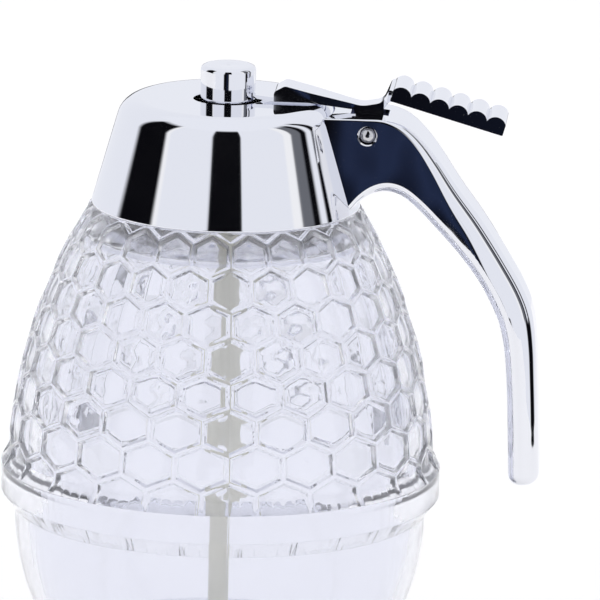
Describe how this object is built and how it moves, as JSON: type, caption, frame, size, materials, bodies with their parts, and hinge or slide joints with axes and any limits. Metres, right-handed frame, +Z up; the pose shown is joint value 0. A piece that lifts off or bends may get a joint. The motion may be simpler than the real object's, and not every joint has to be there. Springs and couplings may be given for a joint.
{
  "type": "honey dispenser",
  "caption": "Clear honeycomb jar in a cup stand with a plated screw lid, a side handle and a thumb lever that lifts a sprung plunger off the outlet at the jar's bottom.",
  "frame": {"origin": "on the jar's axis, at the plane that the stand's foot rests on", "axes": "+Z up the jar's axis to the knob, +X towards the handle, and XZ is the plane that halves the handle"},
  "size_m": [0.1044, 0.085, 0.1485],
  "materials": {
    "clear_stand": "clear polished acrylic",
    "clear_jar": "clear polished acrylic",
    "chrome_plate": "bright plating on a moulded body",
    "liner_plastic": "natural moulded plastic",
    "silicone": "soft translucent silicone",
    "steel": "stainless steel",
    "rod_plastic": "cream moulded plastic, slightly glossy"
  },
  "bodies": {
    "stand": {"stand": "clear_stand"},
    "jar": {"bowl_shell": "clear_jar", "dome_shell": "clear_jar"},
    "lid": {"lid_shell": "chrome_plate", "threaded_liner": "liner_plastic", "lid_seal": "silicone", "handle": "chrome_plate", "handle_screws": "steel", "pivot_pin": "steel"},
    "lever": {"lever": "chrome_plate"},
    "plunger": {"knob": "chrome_plate", "plunger_rod": "rod_plastic", "spring_retainer": "rod_plastic", "return_spring": "steel", "stopper": "silicone"}
  },
  "joints": [
    {"name": "jar_lift", "type": "slide", "parent": "stand", "child": "jar", "axis": [0, 0, 1], "range_m": [0, 0.045]},
    {"name": "lid_lift", "type": "slide", "parent": "jar", "child": "lid", "axis": [0, 0, 1], "range_m": [0, 0.14]},
    {"name": "lever_press", "type": "hinge", "parent": "lid", "child": "lever", "pos_m": [0.0275, 0, 0.1371], "axis": [0, 1, 0], "range_deg": [0, 7.5]},
    {"name": "plunger_lift", "type": "slide", "parent": "lid", "child": "plunger", "axis": [0, 0, 1], "range_m": [0, 0.0031], "stiffness_N_per_m": 350, "springref_m": -0.004, "deforming": ["return_spring"]}
  ],
  "couplings": [
    {"joint": "lever_press", "follows": "plunger_lift", "rad_per_m": 42.19}
  ]
}
